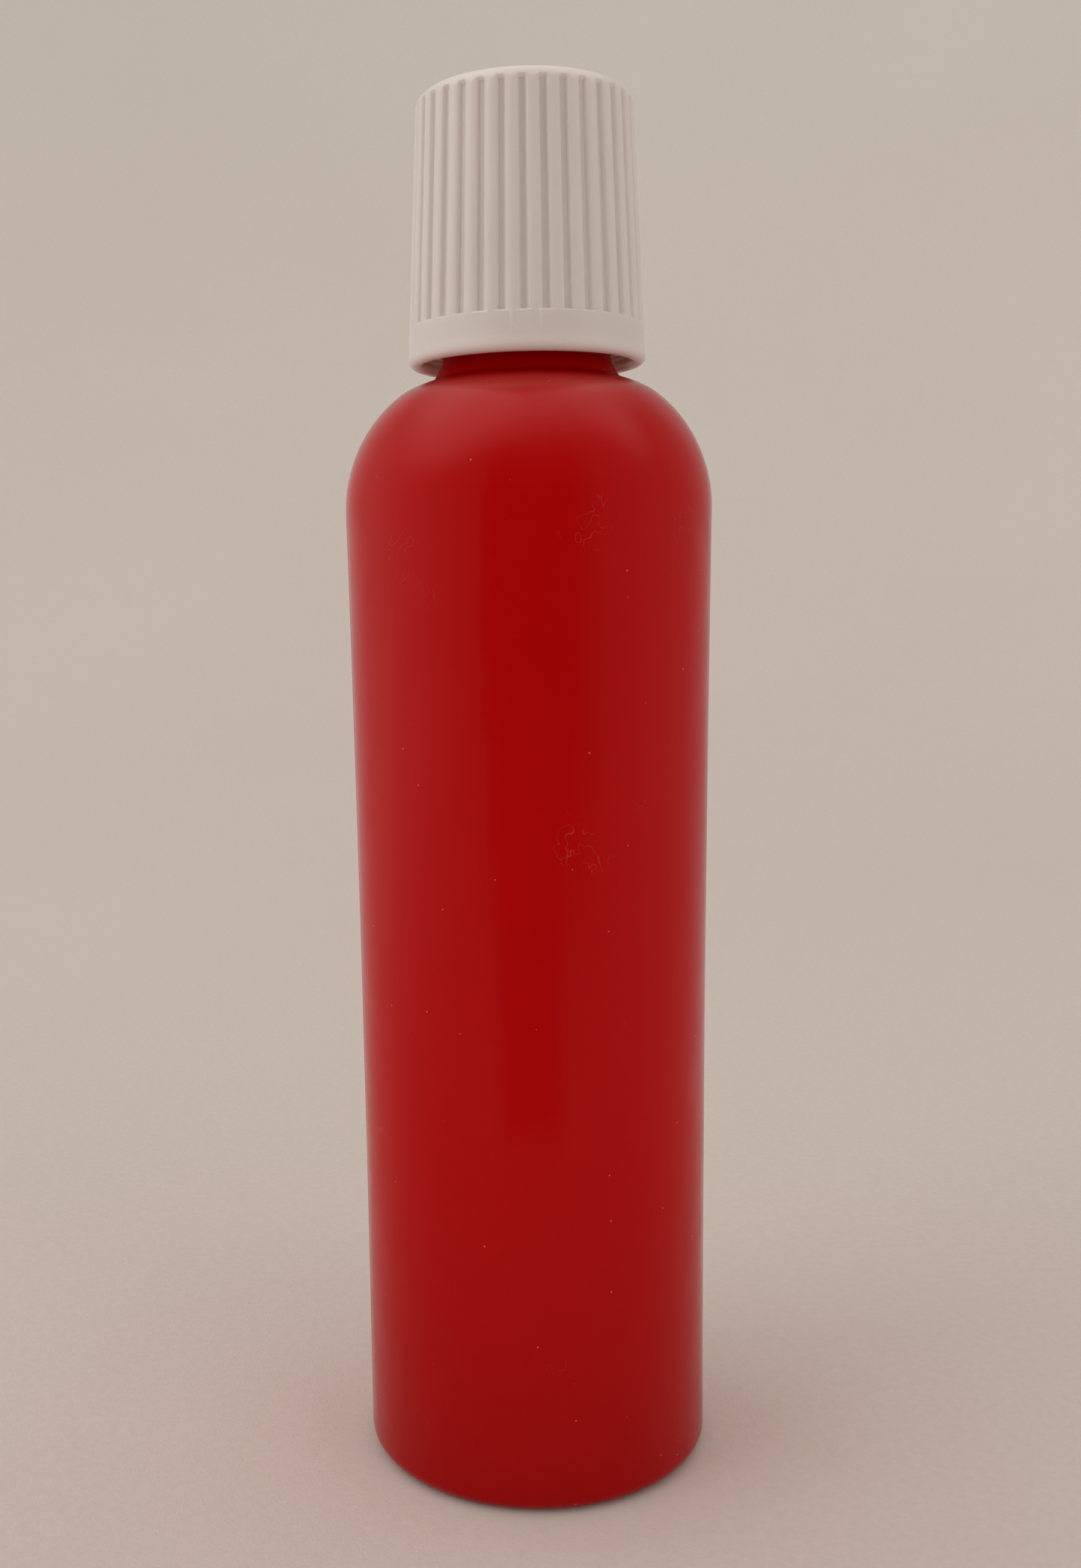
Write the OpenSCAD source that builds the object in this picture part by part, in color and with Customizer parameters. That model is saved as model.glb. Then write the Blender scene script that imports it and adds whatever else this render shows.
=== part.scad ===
// Round plastic bottle with a pouring nozzle and a two-part push-and-turn cap.
// Millimetres. Origin at the centre of the base, +Z up along the bottle's axis.
// The cap is drawn screwed down, with its outer shell resting in the raised position.

/* [Bottle] */
// Largest radius of the body
body_r = 24.5; // [23.5:0.25:26]
// Height at which the straight side turns into the shoulder
side_top_z = 132.75; // [120:0.25:140]
// How far the blow-moulded side sinks in at half height
side_sink = 0.26; // [0:0.02:0.5]
// Thickness of the bottle's wall
bottle_wall = 1.1; // [0.8:0.1:1.4]
// Radius of the rounded edge around the base
base_edge_r = 2.2; // [1.5:0.1:4]
// Height of the hollow under the base
push_up_h = 2.6; // [1.5:0.1:4]
// Radius at which the hollow under the base meets the foot ring
push_up_r = 18.6; // [16:0.2:19]
// Radial half-axis of the elliptical shoulder
shoulder_rx = 17.15; // [16.5:0.05:17.5]
// Vertical half-axis of the elliptical shoulder
shoulder_rz = 18.34; // [18.3:0.02:18.6]

/* [Neck] */
// Radius at the crease between the shoulder and the foot of the neck
neck_foot_r = 12.5; // [12.2:0.1:12.8]
// Outer radius of the neck between its threads
neck_r = 10.75; // [10.7:0.05:10.8]
// Radius of the bore through the neck
neck_bore_r = 9.1; // [9:0.05:9.2]
// Height of the neck's top face above the crease
neck_h = 16.76; // [16.7:0.02:16.9]
// Height above the crease at which the flare ends
flare_h = 4.76; // [4.5:0.1:4.9]
// Radius over the crests of the neck's thread
neck_crest_r = 11.85; // [11.75:0.05:11.9]
// Rise of the thread in one turn
thread_pitch = 3.175; // [3.1:0.025:3.25]
// Turns of thread on the neck
neck_turns = 1.5; // [1:0.25:1.5]

/* [Nozzle insert] */
// How much larger than the bore the plug is, in radius
plug_bite = 0.03; // [0.01:0.01:0.05]
// Depth of the plug below the top of the neck
plug_depth = 8; // [6:0.5:10]
// Thickness of the flange that rests on the neck
flange_t = 1; // [0.8:0.1:1]
// Height of the nozzle's tip above the flange
nozzle_h = 9; // [7:0.5:9]
// Radius of the pouring hole in the tip
orifice_r = 1.05; // [1:0.05:1.2]

/* [Seal washer] */
// Thickness of the foam ring
washer_t = 1.2; // [1.2:0.1:1.4]
// Outer radius of the foam ring
washer_r = 11.6; // [11.2:0.1:11.8]

/* [Inner cap] */
// Inner radius of the skirt, which is the root of its thread
skirt_bore_r = 12.1; // [12:0.05:12.15]
// Radius over the crests of the inner cap's thread
cap_crest_r = 11.05; // [10.95:0.05:11.1]
// Turns of thread in the inner cap
cap_turns = 1.75; // [1.25:0.25:1.75]
// Outer radius of the tower over the nozzle
tower_r = 8; // [7.8:0.1:8.2]
// Number of drive lugs
lug_count = 12; // [8:4:12]

/* [Outer cap] */
// Height of the rim above the crease of the neck
rim_h = 1.36; // [1.3:0.02:1.5]
// Height of the cap from its rim to its top
cap_h = 33.4; // [33.3:0.1:33.8]
// Radius of the cap at the widest part of its rim
rim_r = 15.68; // [15.6:0.02:15.8]
// Radius of the cap at the bottom of its ribs
rib_foot_r = 15.44; // [15.4:0.02:15.5]
// Radius to which the cap's side tapers at its top
cap_top_r = 14; // [13.9:0.05:14.2]
// Number of ribs for grip
rib_count = 34; // [28:2:36]
// Radius of the round groove between two ribs
groove_r = 0.6; // [0.4:0.05:0.65]
// How far the outer cap goes down when it is pushed
push_travel = 1.5; // [1.3:0.1:1.5]

/* [Hidden] */
$fn = 96;

// Bottle
shoulder_c = [body_r - shoulder_rx, side_top_z];
crease_angle = acos((neck_foot_r - shoulder_c.x) / shoulder_rx);
crease_z = side_top_z + shoulder_rz * sin(crease_angle);
flare_r = (pow(neck_foot_r - neck_r, 2) + pow(flare_h, 2)) / (2 * (neck_foot_r - neck_r));
flare_angle = asin(flare_h / flare_r);
neck_top_z = crease_z + neck_h;
neck_edge = 0.4;
base_t = 1.4;
inner_foot_r = body_r - bottle_wall - base_edge_r;

// Threads
thread_top_gap = 2.35;
neck_thread_z = neck_top_z - thread_top_gap - neck_turns * thread_pitch;
neck_bead_w = 1.9;
cap_bead_w = 1.8;
bead_crest_w = 0.8;
flank_offset = 1.31;
cap_lead_turns = cap_turns - neck_turns;
cap_thread_z = neck_thread_z - cap_lead_turns * thread_pitch - flank_offset;
thread_steps = 36;
fade_angle = 30;
bead_root = 0.3;

// Nozzle insert
plug_r = neck_bore_r + plug_bite;
plug_bore_r = 8;
flange_r = 10.5;
flange_z = neck_top_z + flange_t;
tip_z = flange_z + nozzle_h;
nozzle_foot_r = 5.2;
nozzle_tip_r = 2.5;
nozzle_wall = 1.1;
orifice_l = 1.8;

// Inner cap
washer_bore_r = 5.8;
inner_cap_bottom_z = crease_z + 3.06;
skirt_wall_top = 0.95;
skirt_wall_foot = 1.45;
retainer_r = 14.05;
retainer_h = 1.2;
ceiling_z = flange_z + washer_t;
shoulder_t = 1.1;
cap_shoulder_z = ceiling_z + shoulder_t;
tower_wall = 1.1;
tower_ceiling_z = tip_z + 1;
tower_top_z = tower_ceiling_z + 1.2;
pin_r = 0.9;
pin_l = 2.4;
spigot_r = 2.2;
spigot_h = 1.4;
lug_h = push_travel + 0.2;
lug_inner_r = 9.3;
lug_outer_r = 12.4;
lug_w = 1.2;
lug_ramp = 1;

// Outer cap
rim_z = crease_z + rim_h;
cap_top_z = rim_z + cap_h;
rib_foot_z = rim_z + 4.95;
shell_wall = 1.5;
shell_bore_r = 13.74;
shell_top_t = 1.7;
shell_ceiling_z = cap_top_z - shell_top_t;
top_edge_r = 1.36;
taper = (rib_foot_r - cap_top_r) / (cap_top_z - rib_foot_z);
taper_angle = atan(taper);
first_groove = -91;
retainer_room_r = 14.25;
retainer_room_z = inner_cap_bottom_z - 0.15;
retainer_room_h = retainer_h + push_travel + 0.35;
drive_rib_w = 1.2;
drive_rib_inner_r = 9.5;
drive_rib_z = cap_shoulder_z + lug_h + 0.3;

// Spring disc
disc_t = 0.7;
disc_r = 7.4;
disc_hole_r = spigot_r + 0.07;
tab_count = 4;
tab_w = 3.2;
tab_outer_r = 11.6;
finger_count = 6;
finger_w = 1.8;
finger_inner_r = 4.4;
finger_t = 1.1;
finger_l = 4.8;
finger_h = shell_ceiling_z - tower_top_z;

// Points of a circular or elliptical arc around c.
function arc(c, rx, rz, from, to, steps) =
    [for (i = [0:steps]) let (a = from + (to - from) * i / steps) c + [rx * cos(a), rz * sin(a)]];

// Radius of the outer cap's side at height z.
function shell_r(z) = rib_foot_r - taper * (z - rib_foot_z);

// Radius of the bottle's side: widest at both ends, sunk in the middle.
function side_r(z) = body_r - side_sink * sin(180 * (z - base_edge_r) / (side_top_z - base_edge_r));

// The side's points from height z up to the shoulder, moved in by d.
function side_points(d, z, steps) =
    [for (i = [0:steps]) let (at = z + (side_top_z - z) * i / steps) [side_r(at) - d, at]];

// The hollow under the base, from the foot ring to the axis, raised by d.
function push_up_points(d, steps) =
    [for (i = [0:steps]) let (r = push_up_r * (1 - i / steps)) [r, d + push_up_h * (1 - pow(r / push_up_r, 2))]];

function reversed(list) = [for (i = [len(list) - 1:-1:0]) list[i]];

// A screw thread's bead: a trapezoid swept up a right-hand helix. It rises out of the wall at one end
// and sinks back into it at the other. root_r lies inside the wall, and crest_r stands out of it.
module thread_bead(root_r, wall_r, crest_r, base_w, z, turns, from) {
    steps = round(turns * thread_steps);
    outward = crest_r > root_r ? 1 : -1;
    rings = [for (i = [0:steps]) let (
        a = 360 * turns * i / steps,
        fade = min(1, a / fade_angle, (360 * turns - a) / fade_angle),
        top_r = wall_r - outward * 0.1 + (crest_r - wall_r + outward * 0.1) * fade,
        mid_z = z + thread_pitch * a / 360,
        side = outward * 0.5,
        section = [
            [root_r, -side * base_w],
            [top_r, -side * bead_crest_w],
            [top_r, side * bead_crest_w],
            [root_r, side * base_w]
        ]
    ) [for (p = section) [p.x * cos(from + a), p.x * sin(from + a), mid_z + p.y]]];
    points = [for (ring = rings) each ring];
    sides = [for (i = [0:steps - 1], k = [0:3]) let (n = (k + 1) % 4)
        each [[4 * i + k, 4 * i + n, 4 * i + 4 + n], [4 * i + k, 4 * i + 4 + n, 4 * i + 4 + k]]];
    last = 4 * steps;
    ends = [[3, 2, 1], [3, 1, 0], [last, last + 1, last + 2], [last, last + 2, last + 3]];
    polyhedron(points, concat(sides, ends));
}

// Copies of the children spaced evenly around the axis, the first turned by offset.
module around(count, offset = 0) {
    for (i = [0:count - 1]) rotate(offset + 360 * i / count) children();
}

module bottle() {
    outer = concat(
        reversed(push_up_points(0, 12)),
        arc([body_r - base_edge_r, base_edge_r], base_edge_r, base_edge_r, -90, 0, 8),
        side_points(0, base_edge_r, 12),
        arc(shoulder_c, shoulder_rx, shoulder_rz, 0, crease_angle, 18),
        arc([neck_r + flare_r, crease_z + flare_h], flare_r, flare_r, 180 + flare_angle, 180, 6),
        [[neck_r, neck_top_z - neck_edge], [neck_r - neck_edge, neck_top_z]]
    );
    shoulder_in = acos((neck_bore_r - shoulder_c.x) / (shoulder_rx - bottle_wall));
    inner = concat(
        [[neck_bore_r, neck_top_z]],
        arc(shoulder_c, shoulder_rx - bottle_wall, shoulder_rz - bottle_wall, shoulder_in, 0, 18),
        reversed(side_points(bottle_wall, base_edge_r + base_t, 12)),
        arc([inner_foot_r, base_edge_r + base_t], base_edge_r, base_edge_r, 0, -90, 8),
        push_up_points(base_t, 12)
    );
    color("firebrick") {
        rotate_extrude() polygon(concat(outer, inner));
        thread_bead(neck_r - bead_root, neck_r, neck_crest_r, neck_bead_w, neck_thread_z, neck_turns, 0);
    }
}

module nozzle_insert() {
    plug_z = neck_top_z - plug_depth;
    color("ghostwhite") rotate_extrude() polygon([
        [plug_bore_r, plug_z],
        [plug_r - 0.5, plug_z],
        [plug_r, plug_z + 0.8],
        [plug_r, neck_top_z],
        [flange_r, neck_top_z],
        [flange_r, flange_z],
        [nozzle_foot_r, flange_z],
        [nozzle_tip_r, tip_z - 0.4],
        [nozzle_tip_r - 0.4, tip_z],
        [orifice_r, tip_z],
        [orifice_r, tip_z - orifice_l],
        [nozzle_foot_r - nozzle_wall, flange_z - flange_t],
        [plug_bore_r, flange_z - flange_t - 0.6]
    ]);
}

module seal_washer() {
    color("linen") rotate_extrude()
        translate([washer_bore_r, flange_z]) square([washer_r - washer_bore_r, washer_t]);
}

module inner_cap() {
    skirt_top_z = cap_shoulder_z - 0.5;
    retainer_top_z = inner_cap_bottom_z + retainer_h;
    tower_bore_r = tower_r - tower_wall;
    color("white") {
        rotate_extrude() polygon([
            [skirt_bore_r, inner_cap_bottom_z],
            [retainer_r - 0.5, inner_cap_bottom_z],
            [retainer_r, inner_cap_bottom_z + 0.5],
            [retainer_r, retainer_top_z],
            [skirt_bore_r + skirt_wall_foot, retainer_top_z],
            [skirt_bore_r + skirt_wall_top, skirt_top_z],
            [skirt_bore_r + skirt_wall_top - 0.5, cap_shoulder_z],
            [tower_r, cap_shoulder_z],
            [tower_r, tower_top_z - 0.4],
            [tower_r - 0.4, tower_top_z],
            [spigot_r, tower_top_z],
            [spigot_r, tower_top_z + spigot_h],
            [0, tower_top_z + spigot_h],
            [0, tower_ceiling_z - pin_l],
            [pin_r - 0.3, tower_ceiling_z - pin_l],
            [pin_r, tower_ceiling_z - pin_l + 0.5],
            [pin_r, tower_ceiling_z],
            [tower_bore_r, tower_ceiling_z],
            [tower_bore_r, ceiling_z],
            [skirt_bore_r, ceiling_z]
        ]);
        thread_bead(
            skirt_bore_r + bead_root, skirt_bore_r, cap_crest_r, cap_bead_w,
            cap_thread_z, cap_turns, -360 * cap_lead_turns
        );
        around(lug_count, 180 / lug_count) drive_lug();
    }
}

// One lug on the inner cap's shoulder: upright on the side that is driven, sloped on the side that slips.
module drive_lug() {
    translate([lug_inner_r, 0, cap_shoulder_z - 0.3]) rotate([90, 0, 90])
        linear_extrude(lug_outer_r - lug_inner_r) polygon([
            [-(lug_w + lug_ramp) / 2, 0],
            [(lug_w + lug_ramp) / 2, 0],
            [(lug_w + lug_ramp) / 2, lug_h + 0.3],
            [(lug_w + lug_ramp) / 2 - lug_w, lug_h + 0.3]
        ]);
}

module spring_disc() {
    color("gainsboro") difference() {
        union() {
            translate([0, 0, tower_top_z]) cylinder(h = disc_t, r = disc_r);
            around(tab_count, 180 / lug_count) translate([0, -tab_w / 2, tower_top_z])
                cube([tab_outer_r, tab_w, disc_t]);
            around(finger_count) spring_finger();
        }
        translate([0, 0, tower_top_z - 1]) cylinder(h = disc_t + 2, r = disc_hole_r);
    }
}

// One springy finger, which slopes up from the disc to the ceiling of the outer cap.
module spring_finger() {
    rise = finger_h - finger_t;
    translate([finger_inner_r, 0, tower_top_z]) rotate([90, 0, 90])
        linear_extrude(finger_w) polygon([
            [0, disc_t / 2],
            [finger_t * 1.6, disc_t / 2],
            [finger_l, rise + 0.2],
            [finger_l, finger_h],
            [finger_l - 0.9, finger_h]
        ]);
}

module outer_cap() {
    lip_r = (rim_r - shell_bore_r) / 2;
    lip_c = [rim_r - lip_r, rim_z + lip_r];
    edge_z = cap_top_z - top_edge_r;
    top_c = [shell_r(edge_z) - top_edge_r / cos(taper_angle), edge_z];
    room_top_z = retainer_room_z + retainer_room_h;
    color("whitesmoke") {
        difference() {
            rotate_extrude() polygon(concat(
                arc(lip_c, lip_r, lip_r, -180, 0, 12),
                [[rib_foot_r + 0.05, lip_c.y + 1.2], [rib_foot_r, rib_foot_z]],
                arc(top_c, top_edge_r, top_edge_r, taper_angle, 90, 8),
                [
                    [0, cap_top_z],
                    [0, shell_ceiling_z],
                    [shell_r(shell_ceiling_z) - shell_wall, shell_ceiling_z],
                    [shell_r(room_top_z + 0.4) - shell_wall, room_top_z + 0.4],
                    [retainer_room_r, room_top_z],
                    [retainer_room_r, retainer_room_z],
                    [shell_bore_r, retainer_room_z - 0.3]
                ]
            ));
            around(rib_count, first_groove) grip_groove();
        }
        drive_ribs();
    }
}

// One groove between two ribs, which follows the cap's taper and opens at the top.
module grip_groove() {
    translate([rib_foot_r, 0, rib_foot_z]) rotate([0, -taper_angle, 0])
        cylinder(h = cap_h, r = groove_r);
}

// Ribs inside the outer cap that drop between the lugs when the cap is pushed down.
module drive_ribs() {
    root = 0.3;
    intersection() {
        around(lug_count) translate([drive_rib_inner_r, -drive_rib_w / 2, drive_rib_z])
            cube([rim_r, drive_rib_w, shell_ceiling_z - drive_rib_z + root]);
        rotate_extrude() polygon([
            [0, drive_rib_z - 1],
            [shell_r(drive_rib_z - 1) - shell_wall + root, drive_rib_z - 1],
            [shell_r(cap_top_z) - shell_wall + root, cap_top_z],
            [0, cap_top_z]
        ]);
    }
}

bottle();
nozzle_insert();
seal_washer();
inner_cap();
spring_disc();
outer_cap();
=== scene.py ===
"""Looks for a red plastic bottle with a pouring nozzle and a white push-and-turn cap.

The object's sizes are in millimetres, and MM turns them into metres for Blender. Light, camera and material
sizes are in metres. Round pieces are outlines turned around the +Z axis, and their main heights and radii are
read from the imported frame. The lugs and ribs are flat plates, and the spring disc keeps its CAD mesh.
"""

import math

import bmesh
import bpy
from mathutils import Matrix, Vector


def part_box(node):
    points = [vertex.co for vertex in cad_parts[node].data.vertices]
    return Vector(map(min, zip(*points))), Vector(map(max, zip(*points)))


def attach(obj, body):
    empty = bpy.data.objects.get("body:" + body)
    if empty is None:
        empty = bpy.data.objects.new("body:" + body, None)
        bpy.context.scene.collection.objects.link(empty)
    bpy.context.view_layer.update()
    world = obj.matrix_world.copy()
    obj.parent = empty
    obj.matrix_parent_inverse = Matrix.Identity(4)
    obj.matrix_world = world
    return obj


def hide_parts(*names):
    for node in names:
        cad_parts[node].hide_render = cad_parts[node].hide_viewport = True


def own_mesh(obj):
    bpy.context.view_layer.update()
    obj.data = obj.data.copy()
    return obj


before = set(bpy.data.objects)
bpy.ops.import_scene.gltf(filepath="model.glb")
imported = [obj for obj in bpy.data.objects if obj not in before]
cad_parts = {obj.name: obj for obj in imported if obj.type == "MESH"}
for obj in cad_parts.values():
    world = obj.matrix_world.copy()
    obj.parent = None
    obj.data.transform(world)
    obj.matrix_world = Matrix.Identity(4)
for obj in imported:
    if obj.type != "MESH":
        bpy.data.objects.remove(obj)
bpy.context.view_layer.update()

MM = 0.001
TAU = 2 * math.pi


def top_of(node):
    """Height of a CAD node's highest point, in millimetres."""
    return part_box(node)[1].z / MM


def foot_of(node):
    """Height of a CAD node's lowest point, in millimetres."""
    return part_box(node)[0].z / MM


def radius_of(node):
    """Largest radius of a round CAD node, in millimetres."""
    low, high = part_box(node)
    return max(-low.x, high.x, -low.y, high.y) / MM


# ---------------------------------------------------------------- sizes, in millimetres

# Bottle. SIDE_SINK is how far the side is sunk at its middle, and SHOULDER_SINK how far the shoulder is let
# down at the neck, starting at radius SINK_FROM_R. SHOULDER_RX and SHOULDER_RZ are the shoulder's half axes.
BODY_R = round(radius_of("bottle"), 2)
NECK_TOP = top_of("bottle")
WALL = 1.1
SIDE_SINK = 0.26
SHOULDER_SINK = 0.42
SINK_FROM_R = 17.5
BASE_EDGE = 2.2
BASE_T = 1.4
PUSH_UP_R = 18.6
PUSH_UP_H = 2.6
SHOULDER_RX = 17.15
SHOULDER_RZ = 18.34
NECK_FOOT_R = 12.5
NECK_R = 10.75
NECK_BORE_R = 9.1
NECK_H = 16.76
FLARE_H = 4.76
SHOULDER_R = BODY_R - SHOULDER_RX
CREASE = math.acos((NECK_FOOT_R - SHOULDER_R) / SHOULDER_RX)
CREASE_Z = NECK_TOP - NECK_H
SIDE_TOP = CREASE_Z - SHOULDER_RZ * math.sin(CREASE)
LIP_H = 0.5
SEAM_ANGLE = math.radians(8)
SEAM_H = 0.045
SEAM_W = 0.16
WAVE_H = 0.035

# Screw threads. Each is a bead, BEAD_CREST_W wide at its crest, that fades in and out over the angle FADE.
PITCH = 3.175
NECK_TURNS = 1.5
NECK_CREST_R = 11.85
NECK_BEAD_W = 1.9
NECK_THREAD_Z = NECK_TOP - 2.35 - NECK_TURNS * PITCH
CAP_TURNS = 1.75
CAP_CREST_R = 11.05
CAP_BORE_R = 12.1
CAP_BEAD_W = 1.8
CAP_THREAD_Z = NECK_THREAD_Z - (CAP_TURNS - NECK_TURNS) * PITCH - 1.31
CAP_THREAD_START = -TAU * (CAP_TURNS - NECK_TURNS)
BEAD_CREST_W = 0.8
FADE = math.radians(30)

# Outer cap. The grip is RIB_COUNT ribs, whose rounded tops have the radius RIB_CURVE and half width RIB_HALF,
# with grooves between them. LEDGE_R rounds the ledge that the grooves end on.
CAP_FOOT = foot_of("outer_cap")
CAP_TOP = top_of("outer_cap")
RIM_R = round(radius_of("outer_cap"), 2)
RIB_FOOT_Z = CAP_FOOT + 4.95
RIB_FOOT_R = 15.44
CAP_TOP_R = 14.0
TAPER = (RIB_FOOT_R - CAP_TOP_R) / (CAP_TOP - RIB_FOOT_Z)
RIB_COUNT = 34
FIRST_GROOVE = math.radians(-91)
RIB_CURVE = 1.75
RIB_HALF = 0.98
GROOVE_DEPTH = 0.38
GROOVE_HALF = 0.62
GROOVE_SLOPE = 0.34
GROOVE_END = 1.1
GROOVE_FADE = 0.6
LEDGE_R = 0.28
TOP_EDGE_R = 2.0
DISH_H = 0.25
MOULD_LINE = math.radians(6.7)
MOULD_LINE_H = 0.06
MOULD_LINE_W = 0.16
MOULD_LINE_Z = CAP_FOOT + 2.2
SHELL_WALL = 1.5
SHELL_CEILING = CAP_TOP - 1.7
CAP_HOLE_R = 13.74
CAP_ROOM_R = 14.25

# Inner cap, and the drive between the caps. The pip is the small stud on the tower's top.
LUG_COUNT = 12
PIP_H = 1.4
TOWER_TOP = top_of("inner_cap") - PIP_H
TOWER_R = 8
CAP_SHOULDER = top_of("seal_washer") + 1.1


# ---------------------------------------------------------------- outlines

FILLET_STEPS = 5


def arc(centre, rx, rz, start, end, steps):
    """Points (r, z) along an elliptical arc, angles in degrees."""
    points = []
    for i in range(steps + 1):
        a = math.radians(start + (end - start) * i / steps)
        points.append((centre[0] + rx * math.cos(a), centre[1] + rz * math.sin(a)))
    return points


def rounded(corners):
    """Outline through corners (r, z, fillet radius), each corner turned into an arc of that radius."""
    points = []
    for i, (r, z, fillet) in enumerate(corners):
        here = Vector((r, z))
        if fillet <= 0 or i in (0, len(corners) - 1):
            points.append((r, z))
            continue
        before = Vector(corners[i - 1][:2]) - here
        after = Vector(corners[i + 1][:2]) - here
        u, v = before.normalized(), after.normalized()
        half = u.angle(v) / 2
        reach = min(fillet / math.tan(half), before.length * 0.49, after.length * 0.49)
        radius = reach * math.tan(half)
        centre = here + (u + v).normalized() * (radius / math.sin(half))
        start = here + u * reach - centre
        end = here + v * reach - centre
        turn = math.atan2(start.x * end.y - start.y * end.x, start.dot(end))
        for k in range(FILLET_STEPS + 1):
            a = turn * k / FILLET_STEPS
            on_r = centre.x + start.x * math.cos(a) - start.y * math.sin(a)
            on_z = centre.y + start.x * math.sin(a) + start.y * math.cos(a)
            points.append((on_r, on_z))
    return points


def finer(points, longest):
    """The outline with no step longer than longest."""
    out = [points[0]]
    for (r0, z0), (r1, z1) in zip(points, points[1:]):
        steps = max(1, math.ceil(math.hypot(r1 - r0, z1 - z0) / longest))
        out += [(r0 + (r1 - r0) * k / steps, z0 + (z1 - z0) * k / steps) for k in range(1, steps + 1)]
    return out


def even_angles(count):
    """That many angles, evenly spread over a turn."""
    return [TAU * i / count for i in range(count)]


def thinned(angles):
    """Sorted angles, without those closer than a tenth of a degree to the one before."""
    kept = []
    for a in sorted(angles):
        if not kept or a - kept[-1] > math.radians(0.1):
            kept.append(a)
    return kept


def smooth(x):
    """0 below 0, 1 above 1, and an S curve between."""
    x = min(1.0, max(0.0, x))
    return x * x * (3 - 2 * x)


def turned(name, outline, angles, shape=None, closed=False):
    """A mesh turned around Z from an outline of (r, z) in millimetres.

    shape(r, z, angle) may move each radius. With closed, the outline's last point is joined to its first.
    """
    verts, faces, rings = [], [], []
    for r, z in outline:
        if r < 1e-6:
            verts.append((0.0, 0.0, z * MM))
            rings.append([len(verts) - 1])
            continue
        ring = []
        for a in angles:
            moved = shape(r, z, a) if shape else r
            ring.append(len(verts))
            verts.append((moved * math.cos(a) * MM, moved * math.sin(a) * MM, z * MM))
        rings.append(ring)
    count = len(angles)
    pairs = list(zip(rings, rings[1:]))
    if closed:
        pairs.append((rings[-1], rings[0]))
    for low, high in pairs:
        for i in range(count):
            j = (i + 1) % count
            if len(low) == 1 and len(high) == 1:
                continue
            if len(low) == 1:
                faces.append((low[0], high[j], high[i]))
            elif len(high) == 1:
                faces.append((low[i], low[j], high[0]))
            else:
                faces.append((low[i], low[j], high[j], high[i]))
    mesh = bpy.data.meshes.new(name)
    mesh.from_pydata(verts, [], faces)
    mesh.update()
    obj = bpy.data.objects.new(name, mesh)
    bpy.context.scene.collection.objects.link(obj)
    return obj


def shade(obj, sharp_degrees):
    """Smooth shading, with edges over that angle kept sharp."""
    obj.data.shade_smooth()
    obj.data.set_sharp_from_angle(angle=math.radians(sharp_degrees))
    return obj


def bead(z, angle, z0, turns, start, base_w):
    """How far up a screw thread's bead the point is, from 0 at its root to 1 at its crest."""
    best = 0.0
    first = (angle - start) % TAU
    for turn in range(math.ceil(turns) + 1):
        a = first + turn * TAU
        if a > turns * TAU:
            break
        off = abs(z - z0 - PITCH * a / TAU)
        height = (base_w / 2 - off) / ((base_w - BEAD_CREST_W) / 2)
        best = max(best, smooth(height) * smooth(a / FADE) * smooth((turns * TAU - a) / FADE))
    return best


# ---------------------------------------------------------------- bottle


def bottle_side(z):
    """Radius of the bottle's side: widest at both ends, sunk in the middle."""
    return BODY_R - SIDE_SINK * math.sin(math.pi * (z - BASE_EDGE) / (SIDE_TOP - BASE_EDGE))


def sunk(shoulder):
    """The shoulder's points, let down a little where it flattens towards the neck."""
    reach = SINK_FROM_R - NECK_FOOT_R
    return [(r, z - SHOULDER_SINK * smooth((SINK_FROM_R - r) / reach)) for r, z in shoulder]


def bottle_outline():
    """The bottle's section: up its outside from the middle of the base, over the lip, and down its inside."""
    flare_in = NECK_FOOT_R - NECK_R
    flare_top = CREASE_Z + FLARE_H
    flare_r = (flare_in**2 + FLARE_H**2) / (2 * flare_in)
    flare_from = 180 + math.degrees(math.asin(FLARE_H / flare_r))
    base_c = (BODY_R - BASE_EDGE, BASE_EDGE)
    shoulder_c = (SHOULDER_R, SIDE_TOP)
    dome = [(PUSH_UP_R * k / 16, PUSH_UP_H * (1 - (k / 16) ** 2)) for k in range(17)]
    side_z = [BASE_EDGE + (SIDE_TOP - BASE_EDGE) * k / 90 for k in range(91)]
    side = [(bottle_side(z), z) for z in side_z]
    outer = dome + arc(base_c, BASE_EDGE, BASE_EDGE, -90, 0, 12) + side[1:]
    outer += sunk(arc(shoulder_c, SHOULDER_RX, SHOULDER_RZ, 0, math.degrees(CREASE), 48)[1:])
    flare = arc((NECK_R + flare_r, flare_top), flare_r, flare_r, flare_from, 180, 10)[1:]
    outer += [(r, z - SHOULDER_SINK * smooth((flare_top - z) / FLARE_H)) for r, z in flare]
    neck = [(NECK_R, flare_top + (NECK_TOP - LIP_H - flare_top) * k / 90) for k in range(1, 91)]
    lip = rounded([
        (NECK_R, NECK_TOP - LIP_H, 0),
        (NECK_R, NECK_TOP, 0.4),
        (NECK_BORE_R, NECK_TOP, 0.25),
        (NECK_BORE_R, NECK_TOP - 1, 0),
    ])[1:]
    inner_rx = SHOULDER_RX - WALL
    inner_rz = SHOULDER_RZ - WALL
    meet = math.degrees(math.acos((NECK_BORE_R - SHOULDER_R) / inner_rx))
    inside = sunk(arc(shoulder_c, inner_rx, inner_rz, meet, 0, 24))
    inside_z = [SIDE_TOP - 4 - (SIDE_TOP - 8) * k / 20 for k in range(21)]
    inside += [(bottle_side(z) - WALL, z) for z in inside_z]
    inside += arc((BODY_R - WALL - BASE_EDGE, BASE_EDGE + BASE_T), BASE_EDGE, BASE_EDGE, 0, -90, 8)
    floor = [(r, z + BASE_T) for r, z in reversed(dome)]
    return outer + neck + lip + inside + floor


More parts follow.
